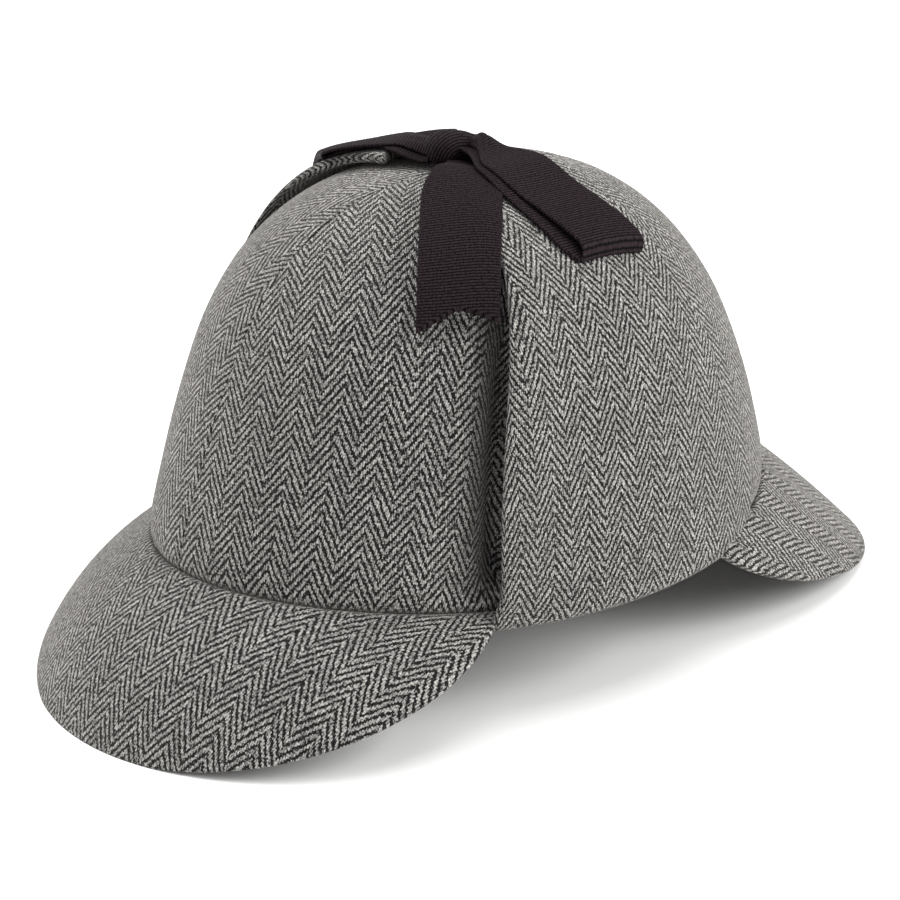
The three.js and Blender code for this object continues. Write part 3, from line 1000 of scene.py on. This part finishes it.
@dataclass
class EarFlap:
    """Two-layer flap of tweed, sewn under the rim and folded up over the side of the crown.

    Sizes are in millimetres. The start, the top, the eases and the limits of the thinning are shares.
    """

    form: CapForm
    side: Side
    wall: float = 3.2
    gap: float = 0.5
    dip_front: float = 5.0
    dip_back: float = 1.75
    fold_out: float = 0.9
    fold_in: float = 0.8
    start: float = 0.004
    top: float = 0.7
    edge_round: float = 1.4
    thin_edge: float = 1.5
    thin_reach: float = 5.0
    thin_begins: tuple[float, float] = (0.02, 0.12)
    thin_ends: tuple[float, float] = (0.8, 0.93)
    weave_ease: tuple[float, float] = (0.945, 0.965)
    row_ease: float = 0.6
    column_ease: float = 0.3
    facing_step: float = 0.004
    fold_rows: int = 16
    rows: int = 170
    columns: int = 96
    edge_points: int = 9
    width_points: int = 60
    climb_points: int = 2000
    stand_passes: int = 4

    def surface(self, up: Array, share: Array, offset: Array, lowered: Array) -> Array:
        """Finds points of the flap: crown points between its two edges, stood off along the front.

        Args:
            up: Angle up from the rim.
            share: Place between the front edge at 0 and the back edge at 1.
            offset: Distance out from the crown's face.
            lowered: How far the point lies below the crown's.

        Returns:
            The points, with X, Y and Z on the last axis.
        """
        form = self.form
        front, back = (self.edge_angle(edge, up) for edge in (form.flap_front, form.flap_back))
        theta = self.side.value * lerp(front, back, share)
        points = form.point(theta, up, offset)
        for _ in range(self.stand_passes):
            points = form.point(theta, up, offset + form.stand(points[..., 0], points[..., 1], up))
        points[..., 2] -= lowered
        return points

    def edge_angle(self, edge: FlapEdge, up: Array) -> Array:
        """Gives the angle round the head at which an edge lies, from its distance along Y.

        Args:
            edge: The flap's front or back edge.
            up: Angle up from the rim.

        Returns:
            The angle from the front at each angle up.
        """
        share = self.form.rise(up)
        forward = self.form.top_back * share - edge.distance(share)
        return np.arccos(np.clip(forward / self.form.length(forward, up, self.wall), -1.0, 1.0))

    def climb(self) -> tuple[Array, Array]:
        """Spaces the rows along the flap's middle, closer at its fold and at its tip.

        Returns:
            The angle up of each row, and its distance from the tip.
        """
        fine = self.form.up_at(np.linspace(self.start, self.top, self.climb_points))
        walked = running_sum(step_lengths(self.form.point(RIGHT_ANGLE, fine, self.wall)))
        wanted = gathered(self.rows, self.row_ease) * walked[-1]
        return np.interp(wanted, walked, fine), walked[-1] - wanted

    def down_rows(self, lip: float, fold: Array, sheet: float) -> Array:
        """Puts together a value for each row: the lip's, those of the fold, then the sheet's."""
        return np.concatenate([[lip], fold, np.full(self.rows, sheet)])[:, None]

    def grids(self) -> tuple[Array, Array, Array]:
        """Works out both faces: a lip under the rim, a rounded fold, then the sheet up to its tip.

        The wall thins towards the front edge, both faces close on a quarter circle at the edges and the
        tip, and the weave is carried round the edges.

        Returns:
            The outer grid, the inner grid and the flat pattern.
        """
        inset, height = edge_profile(self.edge_points, self.edge_round, 1)
        climbed, from_tip = self.climb()
        turn = np.linspace(-RIGHT_ANGLE, 0.0, self.fold_rows)
        up = np.concatenate([np.zeros(self.fold_rows + 1), climbed])[:, None]
        even = np.linspace(0.0, 1.0, self.width_points)[None, :]
        width = step_lengths(self.surface(up, even, self.wall, 0.0), 1).sum(axis=1)
        share = edged_shares(width, gathered(self.columns, self.column_ease), inset, (True, True))
        across = edged_heights(self.columns, height, (True, True))[None, :]

        face_out = self.gap + self.wall
        offset = self.down_rows(-self.form.wall, lerp(self.fold_out, face_out, np.cos(turn)), face_out)
        under = self.down_rows(-self.form.wall, np.linspace(0.0, self.fold_in, self.fold_rows), self.gap)
        drop = self.down_rows(1.0, -np.sin(turn), 0.0)
        low = self.down_rows(self.gap, np.full(self.fold_rows, self.gap), 0.0)
        risen = self.form.rise(up)
        thinned = bell(share * width[:, None], self.thin_reach)
        thinned = thinned * smoothstep(risen, *self.thin_begins) * (1.0 - smoothstep(risen, *self.thin_ends))
        under = lerp(under, face_out - self.thin_edge, thinned)
        deep = drop * (lerp(self.dip_front, self.dip_back, share) + self.gap)
        centre, mean_drop = (offset + under) / 2.0, (deep + low) / 2.0
        tip = np.concatenate([[0.0], np.ones(self.fold_rows), quarter_round(from_tip, self.edge_round)])
        opened = across * tip[:, None]
        outer = self.surface(up, share, lerp(centre, offset, opened), lerp(mean_drop, deep, opened))
        inner = self.surface(up, share, lerp(centre, under, opened), lerp(mean_drop, low, opened))

        face = self.surface(up, share, offset, deep)
        before = self.surface(up, share - self.facing_step, offset, deep)
        after = self.surface(up, share + self.facing_step, offset, deep)
        facing = unit(np.cross(np.gradient(face, axis=0), after - before))
        weave = straight_grain(face, facing, 1, len(face) // 2) / np.array(self.weave_ease)
        weave[..., 0] += np.sign(share - 0.5) * (1.0 - across) * self.wall / 2.0
        return outer, inner, weave

    def build(self, shop: Workshop) -> None:
        """Makes and dresses the flap.

        Args:
            shop: Where the surfaces become pieces.
        """
        name = self.side.name.lower()
        piece = shop.closed_sheet(f"{name}_flap", *self.grids())
        shop.fit(piece, f"ear_flap_{name}", Slot.TWEED)


@dataclass
class RibbonRun:
    """A length of ribbon that leaves the knot on a heading and lies on the cap.

    Sizes are in millimetres. The heading is in degrees from the front towards the wearer's left.
    """

    form: CapForm
    heading: float
    length: float
    knot_width: float
    gather: float
    slant: float = 0.0
    width: float = 24.0
    thickness: float = 0.9
    rest: float = 4.2
    start: float = 6.5
    gather_from: float = 11.3
    centre: tuple[float, float] = (0.0, 4.0)
    rib_height: float = 0.13
    rib_level: float = 0.75
    row_step: float = 0.16
    columns: int = 22
    edge_points: int = 5
    plan_reach: float = 100.0
    plan_points: int = 1001

    def place(self, along: Array, across: Array, lift: Array) -> Array:
        """Lays points on the cap by their walk from the bow's centre.

        The walk is turned into a distance in the plan along the heading by the length of the path
        over the cap, and the place across is set off square to the heading.

        Args:
            along: Distance walked from the centre.
            across: Distance to the side.
            lift: Height over the crown's face.

        Returns:
            The points, with X, Y and Z on the last axis.
        """
        turn = math.radians(self.heading)
        plan = np.linspace(0.0, self.plan_reach, self.plan_points)
        height = self.form.height_over(self.centre[0] + math.sin(turn) * plan,
                                       self.centre[1] - math.cos(turn) * plan, self.rest)
        walked = running_sum(np.hypot(np.diff(plan), np.diff(height)))
        distance = np.interp(along, walked, plan)
        x = self.centre[0] + math.sin(turn) * distance + math.cos(turn) * across
        y = self.centre[1] - math.cos(turn) * distance + math.sin(turn) * across
        return np.stack(np.broadcast_arrays(x, y, self.form.height_over(x, y, lift)), axis=-1)

    def width_at(self, along: Array) -> Array:
        """Gives the ribbon's width, gathered at the knot and full after the gather."""
        spread = smoothstep(along, self.gather_from, self.gather_from + self.gather)
        return lerp(self.knot_width, self.width, spread)

    def rib(self, along: Array) -> Array:
        """Gives the height of the cords: rounded ridges with narrow valleys between them."""
        wave = np.abs(np.sin(math.pi * along / RIB_PITCH))
        return self.rib_height * (np.sqrt(wave) - self.rib_level)

    def across_places(self) -> tuple[Array, Array]:
        """Spaces points across the ribbon, with a rounded edge at both sides.

        Returns:
            The places across, from -0.5 to 0.5, and the share of half the wall at each.
        """
        inset, height = edge_profile(self.edge_points, self.thickness / 2.0, 1)
        inner = np.linspace(0.0, 1.0, self.columns)
        share = edged_shares(np.array([self.width]), inner, inset, (True, True))[0]
        return share - 0.5, edged_heights(self.columns, height, (True, True))


@dataclass
class RibbonTail(RibbonRun):
    """Loose ribbon end with a V-cut, lying on the cap."""

    notch: float = 5.3
    end_lift: float = 0.3
    wave: float = 0.5
    wave_at: float = 24.0
    wave_reach: float = 9.0
    row_ease: float = 0.1
    closing: float = 400.0
    knot_drop: float = 0.0
    drop_reach: tuple[float, float] = (14.0, 28.0)

    def grids(self) -> tuple[Array, Array, Array]:
        """Works out both faces: the ribbon's width carried along the heading to its cut end.

        Returns:
            The upper grid, the lower grid and the flat pattern.
        """
        across, height = self.across_places()
        row = gathered(int((self.length - self.start) / self.row_step), self.row_ease)[:, None]
        cut = self.length - self.notch * (1.0 - 2.0 * np.abs(across)) + self.slant * across
        along = lerp(self.start, cut[None, :], row)
        sideways = across[None, :] * self.width_at(along)
        from_end = (1.0 - row) * (self.length - self.start)
        end = np.minimum(quarter_round(from_end, self.thickness / 2.0), np.minimum(row * self.closing, 1.0))
        arch = self.wave * bell(along - self.wave_at, self.wave_reach) * (1.0 - 4.0 * across[None, :] ** 2)
        dropped = self.knot_drop * (1.0 - smoothstep(along, *self.drop_reach))
        middle = self.rest + self.thickness / 2.0 + self.end_lift * row + arch - dropped
        half = (self.thickness / 2.0 + self.rib(along)) * height[None, :] * end
        upper, lower = (self.place(along, sideways, middle + way * half) for way in (1.0, -1.0))
        return upper, lower, np.stack([sideways, along], axis=-1)


@dataclass
class RibbonLoop(RibbonRun):
    """Flattened loop: the ribbon runs out over the cap, folds and comes back above itself.

    The upper run is arched where it is drawn into the knot, and the whole loop bows to one side. Places
    of the fold and of the lower run's slip are shares of the ribbon's own length and of the loop's.
    """

    over_tail: float = 0.0
    descent: tuple[float, float] = (25.0, 42.0)
    bend: float = 1.7
    mouth: float = 1.0
    opens_at: float = 0.5
    arch: float = 3.5
    arch_at: float = 0.0
    arch_reach: float = 10.0
    sway: float = 0.0
    slip: float = 0.0
    knot_slip: float = 0.0
    under_width: float = 12.0
    pleat: float = 0.25
    pleats: float = 3.0
    fold_to_upper: tuple[float, float] = (0.5, 0.56)
    fold_from_lower: tuple[float, float] = (0.44, 0.54)
    slip_over: tuple[float, float] = (0.2, 0.6)
    closing: float = 300.0
    run_points: int = 400
    bend_points: int = 80

    def under(self, along: Array) -> Array:
        """Gives the lift of the lower run, which changes where it leaves the tail or the flap's tip."""
        return self.rest + self.over_tail * (1.0 - smoothstep(along, *self.descent))

    def middle_line(self) -> tuple[Array, Array, Array]:
        """Runs along the loop: out on the lower run, round a half circle and back on the upper run.

        Returns:
            The distance along the heading, the lift and the ribbon's own length at even steps.
        """
        turn_at = self.length - self.bend
        out = np.linspace(self.start, turn_at, self.run_points)
        angle = np.linspace(-RIGHT_ANGLE, RIGHT_ANGLE, self.bend_points)[1:-1]
        share = (out - self.start) / (turn_at - self.start)
        opening = lerp(self.mouth, 2.0 * self.bend, smoothstep(share, self.opens_at, 1.0))
        along = np.concatenate([out, turn_at + self.bend * np.cos(angle), out[::-1]])
        centre = self.under(np.array(self.length)) + self.bend
        lift = np.concatenate([self.under(out), centre + self.bend * np.sin(angle),
                               (self.under(out) + opening)[::-1]])
        walked = running_sum(np.hypot(np.diff(along), np.diff(lift)))
        even = np.linspace(0.0, walked[-1], int(walked[-1] / self.row_step))
        return np.interp(even, walked, along), np.interp(even, walked, lift), even

    def grids(self) -> tuple[Array, Array, Array]:
        """Works out both faces: the ribbon's width carried along the folded middle line.

        Returns:
            The outer grid, the inner grid and the flat pattern.
        """
        across, height = self.across_places()
        along, lift, walked = self.middle_line()
        run, climb = np.gradient(along), np.gradient(lift)
        size = np.hypot(run, climb)
        row = np.linspace(0.0, 1.0, len(along))
        ends = np.minimum(np.minimum(row, 1.0 - row) * self.closing, 1.0)
        half = ((self.thickness / 2.0 + self.rib(walked)) * ends)[:, None] * height[None, :]
        upper_run = smoothstep(row, *self.fold_to_upper)[:, None]
        lower_run = 1.0 - smoothstep(row, *self.fold_from_lower)
        near = bell(along - self.start - self.arch_at, self.arch_reach)[:, None] * upper_run
        pleated = self.pleat * np.cos(self.pleats * FULL_TURN * across)
        raised = near * (self.arch * (1.0 - 4.0 * across**2) + pleated)
        share = np.clip((along - self.start) / (self.length - self.start), 0.0, 1.0)
        shifted = lerp(self.knot_slip, self.slip, smoothstep(share, *self.slip_over))
        aside = self.sway * np.sin(math.pi * share) + shifted * lower_run
        spread = smoothstep(along, self.gather_from, self.gather_from + self.gather)
        below = lerp(self.under_width, self.width, spread)
        sideways = across[None, :] * lerp(below, self.width_at(along), upper_run[:, 0])[:, None]

        def face(way: float) -> Array:
            """Sets one face off square to the middle line.

            Args:
                way: 1 for the outer face and -1 for the inner one.

            Returns:
                The face's grid of points.
            """
            reach = along[:, None] + way * half * (climb / size)[:, None]
            slanted = self.gather_from + (reach - self.gather_from) * (1.0 + self.slant * across[None, :])
            over = lift[:, None] - way * half * (run / size)[:, None] + self.thickness / 2.0 + raised
            return self.place(slanted, sideways + aside[:, None], over)

        weave = np.stack(np.broadcast_arrays(sideways, walked[:, None]), axis=-1)
        return face(1.0), face(-1.0), weave


@dataclass
class Knot:
    """The bow's knot: ribbon wrapped tightly over the middle, with its cords drawn into arcs.

    Sizes are in millimetres. The cords' right and up span the plane in which their rings lie.
    """

    form: CapForm
    width: float = 12.5
    depth: float = 18.6
    height: float = 10.8
    above: float = 0.4
    square: float = 0.82
    taper: float = 0.25
    centre: tuple[float, float] = (-0.2, -0.9)
    rib_height: float = 0.16
    rib_sink: float = 0.1
    rib_push: tuple[float, float, float] = (0.2, 1.0, 1.4)
    cord_right: tuple[float, float, float] = (0.623, 0.782, 0.0)
    cord_up: tuple[float, float, float] = (-0.286, 0.228, 0.931)
    cord_hub: tuple[float, float] = (4.0, -7.0)
    rows: int = 150
    columns: int = 260

    def grid(self) -> tuple[Array, Array]:
        """Works out the wrapped lump: a squared ellipsoid, lower behind, with its cords in rings.

        The rings lie round a slanting line that passes below the knot's left end, so that the cords
        rise steeply from the right and level out towards it. Their phase is the distance from it.

        Returns:
            The grid of points, closed round its columns, and the flat pattern.
        """
        tilt = np.linspace(-RIGHT_ANGLE, RIGHT_ANGLE, self.rows)[:, None]
        turn = np.linspace(0.0, FULL_TURN, self.columns + 1)[None, :]

        def power(value: Array) -> Array:
            """Raises a sine or a cosine to the knot's power and keeps its sign."""
            return np.sign(value) * np.abs(value) ** self.square

        x = self.width / 2.0 * power(np.sin(tilt)) * np.ones_like(turn)
        ring = np.abs(np.cos(tilt)) ** self.square
        y = self.depth / 2.0 * ring * power(np.cos(turn))
        z = self.height / 2.0 * ring * power(np.sin(turn))
        lowered = self.taper * smoothstep(y, -self.depth / 4.0, self.depth / 2.0)
        points = np.stack([x, y, z - np.maximum(z, 0.0) * lowered], axis=-1)
        beside = dot(points, np.array(self.cord_right)) - self.cord_hub[0]
        over = dot(points, np.array(self.cord_up)) - self.cord_hub[1]
        out = np.hypot(beside, over)
        cords = self.rib_height * np.sqrt(np.abs(np.sin(math.pi * out / RIB_PITCH))) - self.rib_sink
        points = points + unit(points * np.array(self.rib_push)) * (cords * ring)[..., None]
        base = float(self.form.height_over(self.centre[0], self.centre[1], self.above))
        points = points + np.array([self.centre[0], self.centre[1], base + self.height / 2.0])
        return points, np.stack([np.arctan2(over, beside) * self.width, out], axis=-1)

    def build(self, shop: Workshop) -> None:
        """Makes and dresses the knot, with its two poles closed.

        Args:
            shop: Where the surfaces become pieces.
        """
        points, weave = self.grid()
        rows, columns = points.shape[:2]
        faces = grid_quads(np.arange(rows * columns).reshape(rows, columns))
        piece = shop.place_mesh("wrapped_knot", points.reshape(-1, 3), faces,
                                weave.reshape(-1, 2)[faces.reshape(-1)])
        work = bmesh.new()
        work.from_mesh(piece.data)
        bmesh.ops.remove_doubles(work, verts=work.verts, dist=1e-6)
        bmesh.ops.recalc_face_normals(work, faces=work.faces)
        work.to_mesh(piece.data)
        work.free()
        shop.fit(piece, "bow_knot", Slot.GROSGRAIN)


@dataclass
class Bow:
    """Ribbon bow on top of the cap: a knot, two loops and two tails."""

    knot: Knot
    loops: dict[Side, RibbonLoop]
    tails: dict[Side, RibbonTail]
    cut_share: float = 0.85

    def build(self, shop: Workshop) -> None:
        """Makes and dresses the pieces of the bow.

        Args:
            shop: Where the surfaces become pieces.
        """
        self.knot.build(shop)
        for side in Side:
            name = side.name.lower()
            self.dress(shop, self.loops[side], f"{name}_loop", f"bow_loop_{name}")
            self.dress(shop, self.tails[side], f"{name}_tail", f"ribbon_tail_{name}")

    def dress(self, shop: Workshop, ribbon: RibbonLoop | RibbonTail, name: str, node: str) -> None:
        """Makes and dresses one length of ribbon.

        Args:
            shop: Where the surfaces become pieces.
            ribbon: The loop or the tail.
            name: The piece's name.
            node: The frame's node that it stands for.
        """
        piece = shop.closed_sheet(name, *ribbon.grids())
        shop.fit(piece, node, Slot.GROSGRAIN)


@dataclass(frozen=True)
class SoftBox:
    """A soft rectangular light that faces the cap, in metres and watts."""

    name: str
    place: tuple[float, float, float]
    width: float
    height: float
    power: float


@dataclass
class Studio:
    """White floor, soft light and the camera, which is given in millimetres, degrees and pixels."""

    target: tuple[float, float, float] = (0.0, -10.72, 56.05)
    azimuth: float = 51.4817
    elevation: float = 21.4526
    distance: float = 902.41
    focal_pixels: float = 2851.23
    image_side: float = 900.0
    sensor: float = 36.0
    ambient: float = 0.7
    lit: tuple[float, float, float] = (0.0, 0.0, 0.07)
    boxes: tuple[SoftBox, ...] = (
        SoftBox("top_box", (0.0, 0.1, 1.6), 1.4, 1.4, 19.0),
        SoftBox("side_box", (1.2, 0.8, 0.9), 1.0, 1.0, 28.0),
        SoftBox("fill_box", (-1.2, -0.7, 0.9), 1.0, 1.0, 23.0),
    )

    def build(self) -> None:
        """Sets up the floor, the lights, the world and the camera."""
        self.lay_floor()
        for box in self.boxes:
            self.hang_light(box)
        world = bpy.data.worlds.new("studio")
        world.use_nodes = True
        sky = world.node_tree.nodes["Background"]
        sky.inputs["Color"].default_value = (1.0, 1.0, 1.0, 1.0)
        sky.inputs["Strength"].default_value = self.ambient
        bpy.context.scene.world = world
        bpy.context.scene.view_settings.view_transform = "Standard"
        self.set_camera()

    def lay_floor(self) -> None:
        """Lays the floor just under the cap, wide enough to fill the picture."""
        mesh = bpy.data.meshes.new("floor")
        side, low = 6.0, -0.0002
        corners = [(-side, -side, low), (side, -side, low), (side, side, low), (-side, side, low)]
        mesh.from_pydata(corners, [], [(0, 1, 2, 3)])
        floor = bpy.data.objects.new("floor", mesh)
        floor.data.materials.append(StudioFloor().make())
        bpy.context.scene.collection.objects.link(floor)

    def hang_light(self, box: SoftBox) -> None:
        """Hangs one soft box and turns it to the cap.

        Args:
            box: The soft box's place, size and power.
        """
        data = bpy.data.lights.new(box.name, "AREA")
        data.shape = "RECTANGLE"
        data.size, data.size_y = box.width, box.height
        data.energy = box.power
        light = bpy.data.objects.new(box.name, data)
        light.location = box.place
        aim = Vector(self.lit) - light.location
        light.rotation_euler = aim.to_track_quat("-Z", "Y").to_euler()
        bpy.context.scene.collection.objects.link(light)

    def set_camera(self) -> None:
        """Puts the camera on its line of sight: target plus distance along azimuth and elevation."""
        data = bpy.data.cameras.new("camera")
        data.sensor_width = self.sensor
        data.lens = self.focal_pixels / self.image_side * self.sensor
        camera = bpy.data.objects.new("camera", data)
        azimuth, elevation = math.radians(self.azimuth), math.radians(self.elevation)
        sight = Vector((math.sin(azimuth) * math.cos(elevation), -math.cos(azimuth) * math.cos(elevation),
                        math.sin(elevation)))
        target = Vector(self.target) * MM
        camera.location = target + sight * self.distance * MM
        camera.rotation_euler = (-sight).to_track_quat("-Z", "Y").to_euler()
        bpy.context.scene.collection.objects.link(camera)
        bpy.context.scene.camera = camera


def build_cap(form: CapForm, shop: Workshop) -> None:
    """Builds the cap's sub-assemblies in order.

    Args:
        form: The crown's form.
        shop: Where the surfaces become pieces.
    """
    Crown(form).build(shop)
    front_cut = ClothSheet(width=178.0, length=92.0, area=11000.0, held=Held.STRETCHED)
    back_cut = ClothSheet(width=178.0, length=104.0, area=12350.0, held=Held.STRETCHED)
    Peak(form, End.FRONT, length=57.5, root_slope=29.0, rim_slope=69.7, side_slope=-19.4, fan=0.49,
         power=2.36, cut=front_cut).build(shop)
    Peak(form, End.BACK, length=70.0, root_slope=37.0, rim_slope=44.0, side_slope=0.0, fan=0.12,
         power=2.08, cut=back_cut).build(shop)
    for side in Side:
        EarFlap(form, side).build(shop)
    left_loop = RibbonLoop(
        form, heading=96.6, length=66.5, knot_width=8.0, gather=17.0, slant=0.06, centre=(-0.2, 5.0),
        start=1.0, gather_from=8.0, over_tail=1.7, bend=1.2, arch=3.4, arch_at=7.5, arch_reach=5.5,
        sway=-5.5, slip=-4.0, knot_slip=-2.0, under_width=12.0)
    right_loop = RibbonLoop(
        form, heading=-54.0, length=50.0, knot_width=20.0, gather=10.0, slant=-0.32, centre=(-5.5, 8.3),
        over_tail=-3.2, descent=(9.0, 21.0), bend=0.9, arch=3.0, slip=-4.0, knot_slip=5.5, under_width=22.0)
    left_tail = RibbonTail(
        form, heading=49.5, length=88.2, knot_width=11.0, gather=30.0, slant=-2.0, knot_drop=2.2)
    right_tail = RibbonTail(form, heading=-110.0, length=68.0, knot_width=9.0, gather=48.0)
    Bow(Knot(form), loops={Side.LEFT: left_loop, Side.RIGHT: right_loop},
        tails={Side.LEFT: left_tail, Side.RIGHT: right_tail}).build(shop)


def main() -> None:
    """Builds the cap and its studio."""
    logging.basicConfig(level=logging.INFO, format="%(message)s")
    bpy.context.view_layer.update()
    form = CapForm()
    finishes = {Slot.TWEED: HerringboneTweed().make(), Slot.GROSGRAIN: GrosgrainRibbon().make()}
    shop = Workshop(form, finishes)
    build_cap(form, shop)
    Studio().build()


if __name__ == "__main__":
    main()
